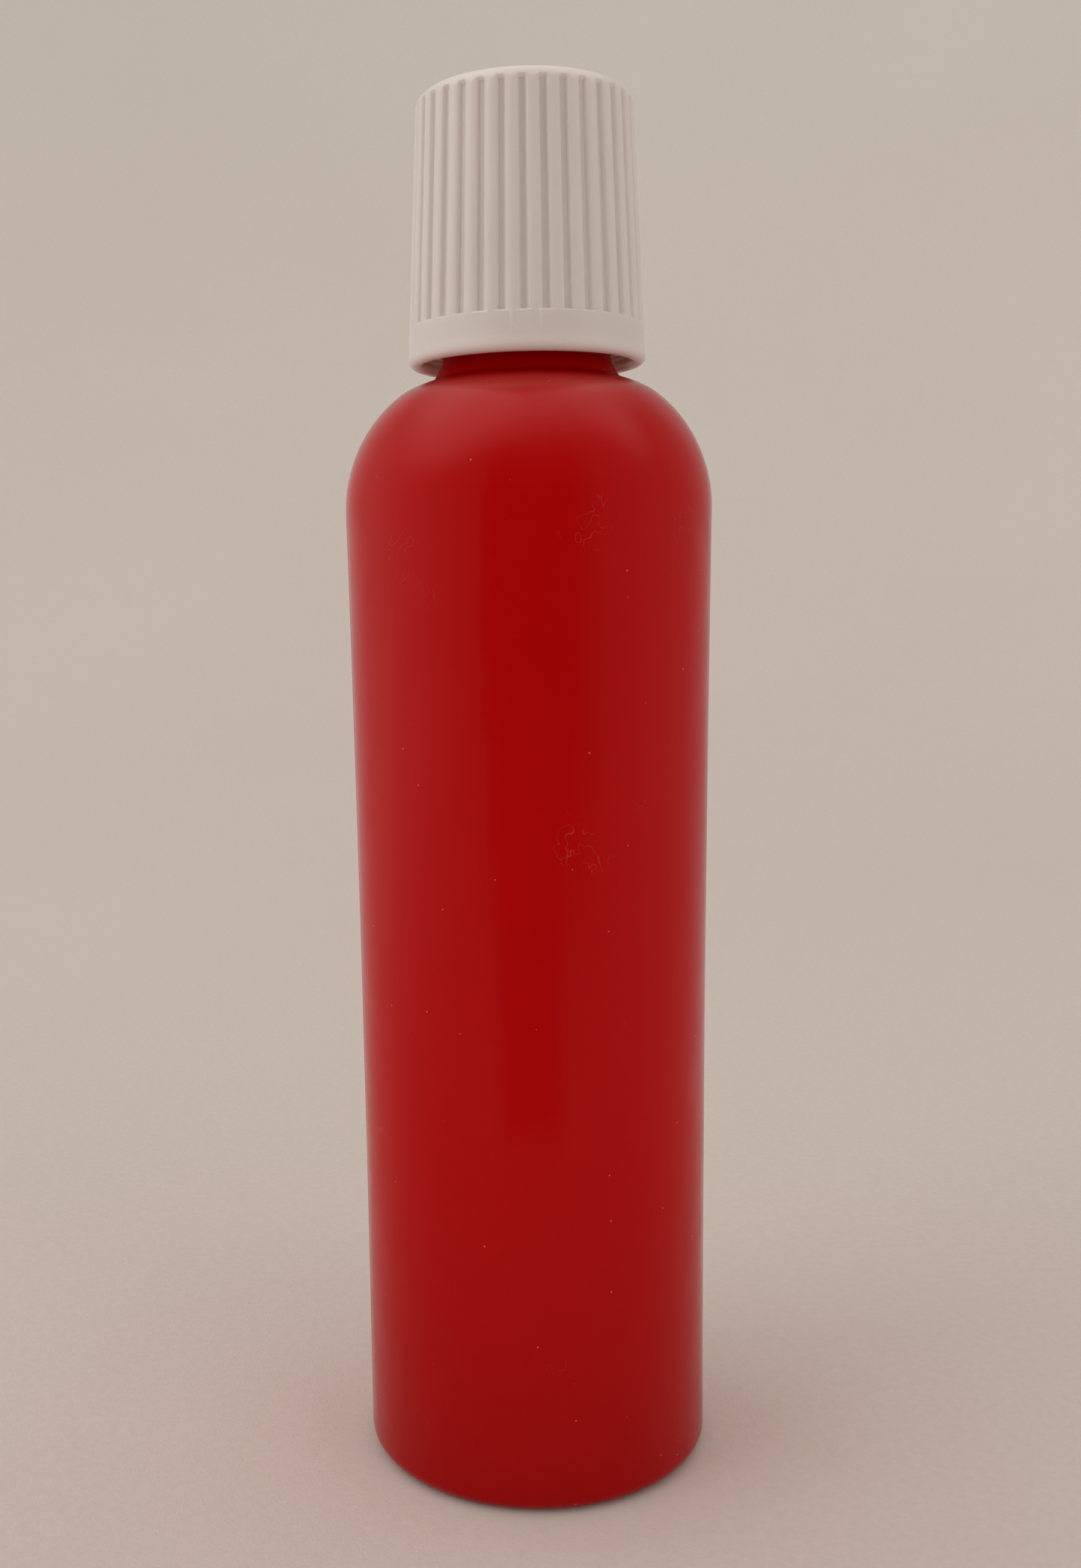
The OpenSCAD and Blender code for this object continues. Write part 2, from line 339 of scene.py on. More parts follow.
def bottle_shape(r, z, angle):
    """The bottle's radius with its thread, its two mould seams and the slight waves of a blown wall."""
    outer_side = bottle_side(z) if BASE_EDGE < z < SIDE_TOP else 0
    if z > CREASE_Z + FLARE_H and abs(r - NECK_R) < 0.01:
        r += (NECK_CREST_R - NECK_R) * bead(z, angle, NECK_THREAD_Z, NECK_TURNS, 0, NECK_BEAD_W)
    is_inside = z < NECK_TOP - NECK_H and r < outer_side - 0.5
    if r < NECK_BORE_R + 0.3 or is_inside:
        return r
    # The waves die out towards the base and over the shoulder.
    fade = smooth((z - BASE_EDGE) / 12) * smooth((SIDE_TOP + 6 - z) / 14)
    wave = 0.45 * math.sin(2 * angle + 0.9 + z * 0.021) + 0.3 * math.sin(3 * angle - 0.6 - z * 0.034)
    wave += 0.25 * math.sin(z * 0.16 + 1.4 * math.sin(angle + 0.5))
    r += WAVE_H * (wave - 1) * fade
    if z < NECK_TOP - 1:
        off = min(abs((angle - SEAM_ANGLE + k * math.pi + math.pi) % TAU - math.pi) for k in (0, 1)) * r
        r += SEAM_H * (math.exp(-((off / SEAM_W) ** 2)) - 1) * (1 if outer_side else 0.6)
    return r


def seam_angles(count):
    """Even angles, with extra ones close to the two mould seams."""
    near = [math.radians(d) for d in (-1.2, -0.8, -0.55, -0.35, -0.17, 0, 0.17, 0.35, 0.55, 0.8, 1.2)]
    found = set(even_angles(count))
    for side in (0, math.pi):
        for d in near:
            found.add((SEAM_ANGLE + side + d) % TAU)
    return thinned(found)


def make_bottle():
    """The blown bottle, hollow, with its neck thread."""
    return shade(turned("bottle_shell", bottle_outline(), seam_angles(216), bottle_shape), 40)


# ---------------------------------------------------------------- outer cap


def groove_depth(angle, r):
    """How far the grip's surface lies under the cap's cone, over its rounded ribs and narrow grooves."""
    step = TAU / RIB_COUNT
    off = abs((angle - FIRST_GROOVE + step / 2) % step - step / 2) * r
    across = min(step * r / 2 - off, RIB_HALF)
    rib = RIB_CURVE - math.sqrt(RIB_CURVE**2 - across**2)
    return rib + GROOVE_DEPTH * smooth((GROOVE_HALF - off) / GROOVE_SLOPE)


def cap_angles():
    """Angles that follow every groove closely and cross the lands in fewer steps."""
    step = TAU / RIB_COUNT
    shares = [0, 0.05, 0.08, 0.11, 0.135, 0.16, 0.18, 0.2, 0.225, 0.26, 0.31, 0.37, 0.43]
    around_groove = sorted({s for x in shares for s in (x, -x)} | {0.5})
    angles = {(FIRST_GROOVE + step * (i + s)) % TAU for i in range(RIB_COUNT) for s in around_groove}
    for side in (-MOULD_LINE, MOULD_LINE):
        angles |= {1.5 * math.pi + side + math.radians(d) for d in (-0.8, -0.4, 0, 0.4, 0.8)}
    return thinned(angles)


def shell_r(z):
    """Radius of the outer cap's cone, which the crests of the ribs lie on."""
    return RIB_FOOT_R - TAPER * (z - RIB_FOOT_Z)


def cap_shape(r, z, angle):
    """The outer cap's radius, with grooves down to a rounded ledge and two faint mould lines on the band."""
    if r < shell_r(z) - SHELL_WALL + 0.2:
        return r
    if MOULD_LINE_Z < z < RIB_FOOT_Z + 0.01:
        for side in (-MOULD_LINE, MOULD_LINE):
            off = abs(angle - 1.5 * math.pi - side) * r
            r += MOULD_LINE_H * math.exp(-((off / MOULD_LINE_W) ** 2))
    up = z - (RIB_FOOT_Z - LEDGE_R)
    if up <= 0:
        return r
    depth = groove_depth(angle, shell_r(z)) * smooth((CAP_TOP - GROOVE_END - z) / GROOVE_FADE)
    if up < LEDGE_R + 0.01:
        depth = min(depth, LEDGE_R - math.sqrt(max(0.0, LEDGE_R**2 - up**2)))
    return min(r, shell_r(z) - depth) if depth else r


def cap_outline():
    """The outer cap's section: up its outside from the lip, over the dished top, and down its inside."""
    room_z = CAP_FOOT + 1.55
    lip_r = (RIM_R - CAP_HOLE_R) / 2
    lip_z = CAP_FOOT + lip_r
    top_z = CAP_TOP - TOP_EDGE_R
    top_r = shell_r(top_z) - TOP_EDGE_R
    outside = arc((RIM_R - lip_r, lip_z), lip_r, lip_r, -180, 0, 16)
    outside += [(RIM_R - 0.05, lip_z + 0.4), (RIM_R - 0.13, lip_z + 0.8), (RIB_FOOT_R + 0.05, lip_z + 1.3)]
    outside += [(RIB_FOOT_R, RIB_FOOT_Z - LEDGE_R * (1 - k / 6)) for k in range(7)]
    outside += [(shell_r(RIB_FOOT_Z + d), RIB_FOOT_Z + d) for d in (0.03, 0.1, 0.3)]
    rows = [RIB_FOOT_Z + 1 + (top_z - RIB_FOOT_Z - 1) * k / 12 for k in range(12)]
    outside += [(shell_r(z), z) for z in rows]
    outside += arc((top_r, top_z), TOP_EDGE_R, TOP_EDGE_R, 2, 90, 16)
    crown = [(11.0, CAP_TOP), (10.8, CAP_TOP - 0.03), (10.5, CAP_TOP - 0.22), (10.2, CAP_TOP - DISH_H)]
    crown += [(6.0, CAP_TOP - DISH_H), (1.5, CAP_TOP - DISH_H), (1.3, CAP_TOP - 0.3), (1.1, CAP_TOP - 0.5)]
    crown += [(0.55, CAP_TOP - 0.5), (0.45, CAP_TOP - 0.35), (0.3, CAP_TOP - 0.28), (0, CAP_TOP - 0.27)]
    inside = rounded([
        (0, SHELL_CEILING, 0),
        (shell_r(SHELL_CEILING) - SHELL_WALL, SHELL_CEILING, 0.6),
        (shell_r(room_z + 3.45) - SHELL_WALL, room_z + 3.45, 0.1),
        (CAP_ROOM_R, room_z + 3.05, 0.15),
        (CAP_ROOM_R, room_z, 0.2),
        (CAP_HOLE_R, room_z - 0.3, 0.1),
        (CAP_HOLE_R, lip_z + 0.02, 0),
    ])
    return outside + crown + inside


def make_outer_cap():
    """The outer cap's shell, without the ribs inside it."""
    obj = turned("cap_outer_shell", cap_outline(), cap_angles(), cap_shape, closed=True)
    return shade(obj, 50)


def plate(section, width, angle, lean=0.0):
    """Vertices and faces of a flat plate: an (r, z) section given a width, then turned to an angle.

    lean moves the plate's far face in by that much where the section is highest, which makes a ramp.
    """
    top = max(z for _, z in section)
    near = [(r, -width / 2, z) for r, z in section]
    far = [(r, width / 2 - (lean if z == top else 0), z) for r, z in section]
    turn = Matrix.Rotation(angle, 3, "Z")
    verts = [turn @ Vector(p) * MM for p in near + far]
    count = len(section)
    faces = [list(range(count)), list(range(2 * count - 1, count - 1, -1))]
    faces += [[i, i + count, (i + 1) % count + count, (i + 1) % count] for i in range(count)]
    return verts, faces


def joined(name, solids, bevel):
    """One object from several closed solids, with its edges rounded by bevel millimetres."""
    verts, faces = [], []
    for v, f in solids:
        base = len(verts)
        verts += v
        faces += [[base + k for k in face] for face in f]
    mesh = bpy.data.meshes.new(name)
    mesh.from_pydata(verts, [], faces)
    bm = bmesh.new()
    bm.from_mesh(mesh)
    bmesh.ops.recalc_face_normals(bm, faces=bm.faces)
    bm.to_mesh(mesh)
    bm.free()
    obj = bpy.data.objects.new(name, mesh)
    bpy.context.scene.collection.objects.link(obj)
    round_edges(obj, bevel)
    return shade(obj, 40)


def round_edges(obj, bevel):
    """Rounds the object's sharp edges by bevel millimetres."""
    edge = obj.modifiers.new("rounded_edges", "BEVEL")
    edge.width = bevel * MM
    edge.segments = 3
    edge.limit_method = "ANGLE"
    edge.harden_normals = True


def make_drive_ribs():
    """Ribs inside the outer cap that drop between the inner cap's lugs when it is pushed down."""
    foot_z = CAP_SHOULDER + 2
    into_wall = 0.2
    section = [
        (9.5, foot_z),
        (shell_r(foot_z) - SHELL_WALL + into_wall, foot_z),
        (shell_r(SHELL_CEILING) - SHELL_WALL + into_wall, SHELL_CEILING + into_wall),
        (9.5, SHELL_CEILING + into_wall),
    ]
    plates = [plate(section, 1.2, TAU * i / LUG_COUNT) for i in range(LUG_COUNT)]
    return joined("cap_drive_ribs", plates, bevel=0.15)


# ---------------------------------------------------------------- inner cap, washer, nozzle, spring


def inner_cap_outline():
    """The inner cap's section: from the plug's tip down its inside, then up its outside to the pip."""
    foot = foot_of("inner_cap")
    ceiling = foot_of("seal_washer") + 1.2
    tower_ceiling = TOWER_TOP - 1.2
    plug_tip = tower_ceiling - 2.4
    bore_top = ceiling - 1.5
    rim_top = foot + 1.2
    top = rounded([
        (0, plug_tip, 0), (0.9, plug_tip, 0.45), (0.9, tower_ceiling, 0.3), (6.9, tower_ceiling, 0.6),
        (6.9, ceiling, 0.3), (CAP_BORE_R, ceiling, 0.2), (CAP_BORE_R, bore_top, 0),
    ])
    bore = finer([(CAP_BORE_R, bore_top), (CAP_BORE_R, rim_top)], 0.12)[1:]
    outside = rounded([
        (CAP_BORE_R, rim_top, 0), (CAP_BORE_R, foot, 0.25), (13.55, foot, 0.1), (14.05, foot + 0.5, 0.3),
        (14.05, rim_top, 0.2), (13.55, rim_top, 0.2), (13.05, CAP_SHOULDER - 0.5, 0.4),
        (12.55, CAP_SHOULDER, 0.3), (TOWER_R, CAP_SHOULDER, 0.4), (TOWER_R, TOWER_TOP - 0.4, 0.3),
        (TOWER_R - 0.4, TOWER_TOP, 0.3), (2.2, TOWER_TOP, 0.2), (2.2, TOWER_TOP + PIP_H, 0.35),
        (0, TOWER_TOP + PIP_H, 0),
    ])[1:]
    return top + bore + outside


def inner_cap_shape(r, z, angle):
    """The inner cap's radius with the thread standing in from its bore."""
    if abs(r - CAP_BORE_R) > 0.01:
        return r
    height = bead(z, angle, CAP_THREAD_Z, CAP_TURNS, CAP_THREAD_START, CAP_BEAD_W)
    return r - (CAP_BORE_R - CAP_CREST_R) * height


def make_inner_cap():
    """The threaded inner cap, without the lugs on its shoulder."""
    return shade(turned("cap_inner_shell", inner_cap_outline(), even_angles(160), inner_cap_shape), 40)


def make_lugs():
    """Ratchet lugs on the inner cap's shoulder: upright on the driven side, sloped on the other."""
    low = CAP_SHOULDER - 0.3
    high = CAP_SHOULDER + 1.7
    section = [(9.3, low), (12.4, low), (12.4, high), (9.3, high)]
    lugs = [plate(section, 2.2, TAU * (i + 0.5) / LUG_COUNT, lean=1.0) for i in range(LUG_COUNT)]
    return joined("cap_drive_lugs", lugs, bevel=0.15)


def make_washer():
    """The ring of foam on the nozzle's flange."""
    low = foot_of("seal_washer")
    high = top_of("seal_washer")
    middle = (low + high) / 2
    loop = rounded([
        (5.8, middle, 0),
        (5.8, low, 0.25),
        (11.6, low, 0.25),
        (11.6, high, 0.25),
        (5.8, high, 0.25),
        (5.8, middle, 0),
    ])[:-1]
    return shade(turned("seal_ring", loop, even_angles(128), closed=True), 60)


def make_nozzle():
    """The pouring nozzle, whose plug sits in the neck and whose flange lies on the lip."""
    foot = foot_of("nozzle_insert")
    tip = top_of("nozzle_insert")
    flange = NECK_TOP + 1
    loop = rounded([
        (8, foot + 3, 0), (8, foot, 0.15), (8.6, foot, 0.15), (9.1, foot + 0.9, 0.4), (9.1, NECK_TOP, 0),
        (10.5, NECK_TOP, 0.1), (10.5, flange, 0.3), (5.35, flange, 0.6), (4.75, flange + 1.4, 0.4),
        (2.75, tip - 1.5, 0.3), (2.95, tip - 1.15, 0.2), (2.5, tip - 0.5, 0.3), (2.2, tip, 0.3),
        (1.05, tip, 0.25), (1.05, tip - 1.8, 0.2), (4.1, NECK_TOP, 0.5), (8, NECK_TOP - 0.6, 0.4),
        (8, foot + 3, 0),
    ])[:-1]
    return shade(turned("pouring_nozzle", loop, even_angles(128), closed=True), 40)


def make_spring():
    """The spring disc keeps its CAD shape, as a piece of its own."""
    obj = bpy.data.objects.new("spring_washer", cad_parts["spring_disc"].data.copy())
    bpy.context.scene.collection.objects.link(obj)
    obj.data.materials.clear()
    return obj


# ---------------------------------------------------------------- materials


def plastic(name, colour, roughness, ior):
    """A Principled material with its constants on its own sockets, and the tools to add nodes to it."""
    mat = bpy.data.materials.new(name)
    mat.use_nodes = True
    nodes, links = mat.node_tree.nodes, mat.node_tree.links
    shader = nodes["Principled BSDF"]
    shader.inputs["Base Color"].default_value = (*colour, 1)
    shader.inputs["Roughness"].default_value = roughness
    shader.inputs["IOR"].default_value = ior
    place = nodes.new("ShaderNodeTexCoord").outputs["Object"]
    return mat, nodes, links, shader, place


def noise(nodes, links, place, scale, detail=3.0):
    """A noise value. scale is in features a metre."""
    tex = nodes.new("ShaderNodeTexNoise")
    tex.inputs["Scale"].default_value = scale
    tex.inputs["Detail"].default_value = detail
    links.new(place, tex.inputs["Vector"])
    return tex.outputs["Fac"]


def between(nodes, links, value, low, high, out_low, out_high):
    """Maps value from low..high to out_low..out_high."""
    ranged = nodes.new("ShaderNodeMapRange")
    for socket, number in zip(("From Min", "From Max", "To Min", "To Max"), (low, high, out_low, out_high)):
        ranged.inputs[socket].default_value = number
    links.new(value, ranged.inputs["Value"])
    return ranged.outputs["Result"]


def maths(nodes, links, operation, *values):
    """The result of a Math node. Each value is a number or a socket."""
    node = nodes.new("ShaderNodeMath")
    node.operation = operation
    for socket, value in zip(node.inputs, values):
        if isinstance(value, float):
            socket.default_value = value
        else:
            links.new(value, socket)
    return node.outputs["Value"]


def bumps(nodes, links, shader, layers):
    """Stacks bump layers (value, height in metres) and links the last to the shader's normal."""
    normal = None
    for value, height in layers:
        bump = nodes.new("ShaderNodeBump")
        bump.inputs["Strength"].default_value = 1.0
        bump.inputs["Distance"].default_value = height
        links.new(value, bump.inputs["Height"])
        if normal is not None:
            links.new(normal, bump.inputs["Normal"])
        normal = bump.outputs["Normal"]
    links.new(normal, shader.inputs["Normal"])


def specks(nodes, links, place, scale, size, share):
    """1 inside rare small specks and 0 elsewhere. share is how many cells hold one."""
    cells = nodes.new("ShaderNodeTexVoronoi")
    cells.inputs["Scale"].default_value = scale
    links.new(place, cells.inputs["Vector"])
    spot = between(nodes, links, cells.outputs["Distance"], size, size * 0.6, 0, 1)
    pick = nodes.new("ShaderNodeSeparateColor")
    links.new(cells.outputs["Color"], pick.inputs["Color"])
    chosen = maths(nodes, links, "LESS_THAN", pick.outputs["Red"], share)
    return maths(nodes, links, "MULTIPLY", spot, chosen)


def scuffs(nodes, links, place, scale, patch_scale):
    """Thin curly rub marks in a few patches. They lie along the lines where a noise passes its middle."""
    signed = maths(nodes, links, "SUBTRACT", noise(nodes, links, place, scale, 1), 0.5)
    off_middle = maths(nodes, links, "ABSOLUTE", signed)
    line = between(nodes, links, off_middle, 0.004, 0.014, 1, 0)
    patch = between(nodes, links, noise(nodes, links, place, patch_scale, 2), 0.67, 0.73, 0, 0.22)
    return maths(nodes, links, "MULTIPLY", line, patch)


def mixed(nodes, links, factor, a, b):
    """A colour mixed from a to b. Each is three numbers or a socket."""
    mix = nodes.new("ShaderNodeMix")
    mix.data_type = "RGBA"
    links.new(factor, mix.inputs["Factor"])
    for socket, colour in ((mix.inputs[6], a), (mix.inputs[7], b)):
        if isinstance(colour, tuple):
            socket.default_value = (*colour, 1)
        else:
            links.new(colour, socket)
    return mix.outputs[2]


def dust_sheen_and_crease_shade(nodes, links, height, tone):
    """The tone with a hazy band of dust and painted sheen on the top of the shoulder, and painted shade
    darkening the crease and the foot of the neck under the cap.

    Each stop is a height in metres, a colour, and how much of that colour covers the tone.
    """
    ramp = nodes.new("ShaderNodeValToRGB")
    # The hazy stops are dust and painted sheen. The dark red stops are painted shade in the crease under the
    # cap.
    stops = [
        (0.1462, (0.5, 0.02, 0.018, 0)),
        (0.1473, (0.48, 0.034, 0.03, 0.45)),
        (0.1483, (0.46, 0.034, 0.03, 0.9)),
        (0.1492, (0.42, 0.004, 0.004, 1)),
        (0.1499, (0.39, 0.001, 0.001, 1)),
        (0.1505, (0.48, 0.0005, 0.0006, 0.5)),
        (0.1520, (0.5, 0.001, 0.001, 0)),
    ]
    low = stops[0][0]
    high = stops[-1][0]
    elements = ramp.color_ramp.elements
    while len(elements) < len(stops):
        elements.new(0.5)
    for element, (z, _) in zip(elements, stops):
        element.position = (z - low) / (high - low)
    for element, (_, colour) in zip(elements, stops):
        element.color = colour
    links.new(between(nodes, links, height, low, high, 0, 1), ramp.inputs["Fac"])
    return mixed(nodes, links, ramp.outputs["Alpha"], tone, ramp.outputs["Color"])


def red_plastic():
    """Opaque red polyethylene: satin gloss, faint orange peel, dust, rub marks, painted shade deepening it
    towards the base and in the crease, and a painted sheen on the shoulder.
    """
    mat, nodes, links, shader, place = plastic("red_polyethylene", (0.58, 0.001, 0.0015), 0.18, 1.22)
    cloudy = noise(nodes, links, place, 35)
    tone = mixed(nodes, links, cloudy, (0.53, 0.0008, 0.0012), (0.57, 0.0012, 0.0018))
    dust = specks(nodes, links, place, 420, 0.06, 0.2)
    split = nodes.new("ShaderNodeSeparateXYZ")
    links.new(place, split.inputs[0])
    height = split.outputs["Z"]
    # Painted shade: the red darkens towards the base.
    base_shade = between(nodes, links, height, 0.075, 0.0, 0, 1)
    tone = mixed(nodes, links, maths(nodes, links, "POWER", base_shade, 2.2), tone, (0.38, 0.0005, 0.0008))
    # Painted shade in the crease under the cap, and a hazy band of dust and painted sheen on the shoulder.
    tone = dust_sheen_and_crease_shade(nodes, links, height, tone)
    tone = mixed(nodes, links, scuffs(nodes, links, place, 520, 75), tone, (0.6, 0.16, 0.14))
    links.new(mixed(nodes, links, dust, tone, (0.62, 0.2, 0.18)), shader.inputs["Base Color"])
    rub = noise(nodes, links, place, 55, 2)
    links.new(between(nodes, links, rub, 0.2, 0.8, 0.155, 0.205), shader.inputs["Roughness"])
    peel = noise(nodes, links, place, 900, 2)
    dents = noise(nodes, links, place, 110, 1)
    bumps(nodes, links, shader, [(dents, 0.00016), (peel, 0.000012)])
    return mat


def white_plastic(name, colour, roughness=0.34, glow=0.35):
    """Moulded white polypropylene: slightly see-through, with a fine spark-eroded surface and rare dust."""
    mat, nodes, links, shader, place = plastic(name, colour, roughness, 1.45)
    shader.inputs["Subsurface Weight"].default_value = glow
    shader.inputs["Subsurface Radius"].default_value = (0.0026, 0.0023, 0.0020)
    shader.inputs["Subsurface Scale"].default_value = 1.0
    cloudy = noise(nodes, links, place, 90)
    darker = tuple(0.96 * c for c in colour)
    tone = mixed(nodes, links, cloudy, darker, tuple(min(1, 1.03 * c) for c in colour))
    dust = specks(nodes, links, place, 230, 0.045, 0.05)
    links.new(mixed(nodes, links, dust, tone, (0.2, 0.17, 0.15)), shader.inputs["Base Color"])
    worn = noise(nodes, links, place, 500, 4)
    gloss = between(nodes, links, worn, 0.3, 0.7, roughness - 0.06, roughness + 0.08)
    links.new(gloss, shader.inputs["Roughness"])
    grain = noise(nodes, links, place, 3200, 2)
    sink = noise(nodes, links, place, 160, 1)
    bumps(nodes, links, shader, [(sink, 0.00004), (grain, 0.000006)])
    return mat


def natural_plastic():
    """Unpigmented polyethylene: milky, soft and waxy."""
    mat, nodes, links, shader, place = plastic("natural_polyethylene", (0.80, 0.80, 0.77), 0.42, 1.45)
    shader.inputs["Subsurface Weight"].default_value = 0.6
    shader.inputs["Subsurface Radius"].default_value = (0.004, 0.0038, 0.0034)
    shader.inputs["Subsurface Scale"].default_value = 1.0
    gloss = between(nodes, links, noise(nodes, links, place, 600), 0.3, 0.7, 0.34, 0.5)
    links.new(gloss, shader.inputs["Roughness"])
    tone = mixed(nodes, links, noise(nodes, links, place, 150), (0.76, 0.76, 0.73), (0.83, 0.83, 0.80))
    links.new(tone, shader.inputs["Base Color"])
    bumps(nodes, links, shader, [(noise(nodes, links, place, 1500, 2), 0.00001)])
    return mat


def foam():
    """Closed-cell foam: matt, white, with its cells just showing."""
    mat, nodes, links, shader, place = plastic("seal_foam", (0.82, 0.81, 0.77), 0.85, 1.4)
    cells = nodes.new("ShaderNodeTexVoronoi")
    cells.inputs["Scale"].default_value = 2600
    links.new(place, cells.inputs["Vector"])
    depth = cells.outputs["Distance"]
    links.new(mixed(nodes, links, depth, (0.86, 0.85, 0.82), (0.70, 0.69, 0.65)), shader.inputs["Base Color"])
    bumps(nodes, links, shader, [(depth, 0.0001)])
    return mat


# ---------------------------------------------------------------- the object put together


def add(obj, body, material, slot, *nodes):
    """Gives a piece its material and its body, and hides the CAD nodes that it stands for. The slot argument
    is not used.
    """
    obj.data.materials.append(material)
    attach(obj, body)
    if nodes:
        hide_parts(*nodes)
    return obj


cap_white = white_plastic("cap_white", (0.85, 0.80, 0.77), glow=0.55)
# The inner cap's white is warmer than the outer cap's: a painted tint for the shade and red bounce light
# under the cap.
inner_white_bounce_tint = white_plastic("inner_cap_white_bounce_tint", (0.86, 0.78, 0.72), 0.33, glow=0.9)
spring_white = white_plastic("spring_white", (0.80, 0.79, 0.76), 0.45)

spring = add(make_spring(), "spring_disc", spring_white, "spring_plastic", "spring_disc")
pieces = [
    spring,
    add(make_bottle(), "bottle", red_plastic(), "bottle_plastic", "bottle"),
    add(make_nozzle(), "bottle", natural_plastic(), "nozzle_plastic", "nozzle_insert"),
    add(make_washer(), "seal_washer", foam(), "seal_foam", "seal_washer"),
    add(make_inner_cap(), "inner_cap", inner_white_bounce_tint, "inner_cap_plastic", "inner_cap"),
    add(make_lugs(), "inner_cap", inner_white_bounce_tint, "inner_cap_plastic"),
    add(make_outer_cap(), "outer_cap", cap_white, "cap_plastic", "outer_cap"),
    add(make_drive_ribs(), "outer_cap", cap_white, "cap_plastic"),
]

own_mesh(spring)


# ---------------------------------------------------------------- floor, light and camera

# Metres and degrees. An azimuth counts to the right from the front. The room shell round the object is a
# skirt up to DOME_Z and a dome above. The shade card reaches to CARD_SPAN on each side of the front.
LIGHT_AIM = (0, 0, 0.1)
FILL_SIZE = (1.44, 0.9)
SHELL_FOOT = 0.0005
SKIRT_R = 0.175
DOME_R = 0.3
DOME_Z = 0.12
CARD_R = 0.35
CARD_TOP = 0.42
CARD_SPAN = 36
CARD_LEVEL = 0.37


def make_floor():
    """A pale floor, in millimetres, that curves up far away into a plain wall all round.

    Close to the bottle it scatters light under its surface, which softens the line where the bottle stands.
    """
    reach, rise, height = 450, 1300, 1700
    curve = arc((reach, rise), rise, rise, -90, 0, 40)
    outline = [(0, 0), (200, 0)] + curve + [(reach + rise, height)]
    obj = turned("floor", outline[::-1], even_angles(96))
    obj.data.shade_smooth()
    mat, nodes, links, shader, place = plastic("pale_floor", (0.7, 0.66, 0.62), 1.0, 1.45)
    shader.inputs["Specular IOR Level"].default_value = 0.0
    shader.inputs["Subsurface Radius"].default_value = (0.0040, 0.0024, 0.0020)
    shader.inputs["Subsurface Scale"].default_value = 1.0
    away = nodes.new("ShaderNodeVectorMath")
    away.operation = "LENGTH"
    links.new(place, away.inputs[0])
    near_bottle = between(nodes, links, away.outputs["Value"], 0.032, 0.026, 0, 1)
    links.new(near_bottle, shader.inputs["Subsurface Weight"])
    split = nodes.new("ShaderNodeSeparateXYZ")
    links.new(place, split.inputs[0])
    # Painted light: the wall is coloured a little lighter than the floor, standing in for light that it
    # lacks.
    up = between(nodes, links, split.outputs["Z"], 0.0, 0.7, 0, 1)
    cloudy = noise(nodes, links, place, 3, 2)
    low = mixed(nodes, links, cloudy, (0.84, 0.775, 0.735), (0.88, 0.815, 0.775))
    high = mixed(nodes, links, cloudy, (0.83, 0.795, 0.755), (0.88, 0.85, 0.81))
    plain = mixed(nodes, links, up, low, high)
    weave = between(nodes, links, noise(nodes, links, place, 700, 4), 0.35, 0.7, 0, 0.08)
    links.new(mixed(nodes, links, weave, plain, (0.45, 0.40, 0.37)), shader.inputs["Base Color"])
    bumps(nodes, links, shader, [(noise(nodes, links, place, 1900, 3), 0.00009)])
    obj.data.materials.append(mat)


def area_light(name, place, size, power):
    """A white panel of light aimed at the object, which neither the camera nor any gloss sees."""
    light = bpy.data.lights.new(name, "AREA")
    light.shape = "RECTANGLE"
    light.size, light.size_y = size
    light.energy = power
    obj = bpy.data.objects.new(name, light)
    obj.location = place
    obj.rotation_euler = (Vector(LIGHT_AIM) - Vector(place)).to_track_quat("-Z", "Y").to_euler()
    obj.visible_camera = False
    obj.visible_glossy = False
    bpy.context.scene.collection.objects.link(obj)
    return obj


def make_light():
    """Soft light from the open sky above the wall, a window up on the left and three fills outside the wall.

    A dim card stands between the object and the sky in front. Gloss shows neither the lights nor the card. It
    shows the room shell instead.
    """
    world = bpy.data.worlds.new("studio")
    world.use_nodes = True
    background = world.node_tree.nodes["Background"]
    background.inputs["Color"].default_value = (1.0, 0.93, 0.87, 1)
    background.inputs["Strength"].default_value = 0.6
    bpy.context.scene.world = world
    area_light("left_window", (-0.75, -0.35, 0.95), (0.7, 0.7), 0.94)
    fills = [
        area_light("left_fill", (-1.84, -0.85, 0.53), FILL_SIZE, 4.4),
        area_light("side_fill", (-1.8, 0.85, 0.64), FILL_SIZE, 3.75),
        area_light("right_fill", (1.44, -1.44, 0.53), FILL_SIZE, 5.2),
    ]
    card = [(CARD_R, SHELL_FOOT + (CARD_TOP - SHELL_FOOT) * k / 14) for k in range(15)]
    card_span = (-CARD_SPAN, CARD_SPAN)
    shade_card = glow_shell("shade_card", card, card_span, card_level, (1.0, 0.72, 0.62), card_cover)
    shade_card.visible_glossy = False
    shine_through_wall(fills, pieces + [shade_card])
    skirt = [(SKIRT_R, SHELL_FOOT + (DOME_Z - SHELL_FOOT) * k / 8) for k in range(9)]
    dome = arc((0, DOME_Z), DOME_R, DOME_R, 0, 88, 22)
    room = glow_shell("room_shell", skirt + dome, (-180, 180), room_level, (1.0, 0.93, 0.87))
    room.visible_diffuse = False
    room.visible_shadow = False


def shine_through_wall(lights, casters):
    """Lets lights that stand outside the wall shine in, by having only the casters throw their shadows."""
    shadows = bpy.data.collections.new("shadow_casters")
    for obj in casters:
        shadows.objects.link(obj)
    for light in lights:
        light.light_linking.blocker_collection = shadows


def card_level(azimuth, z, up):
    """The shade card glows evenly, so its brightness doesn't depend on the place."""
    return CARD_LEVEL


def card_cover(azimuth, z):
    """How solid the shade card is. It thins out to nothing at its edges, so that none throws a hard line."""
    return smooth(z / 0.15) * smooth((CARD_TOP - z) / 0.08) * smooth((CARD_SPAN - abs(azimuth)) / 8)


def hump(angle, centre, width):
    """1 at the centre, falling to nothing on both sides over a few widths."""
    return math.exp(-(((angle - centre) / width) ** 2))


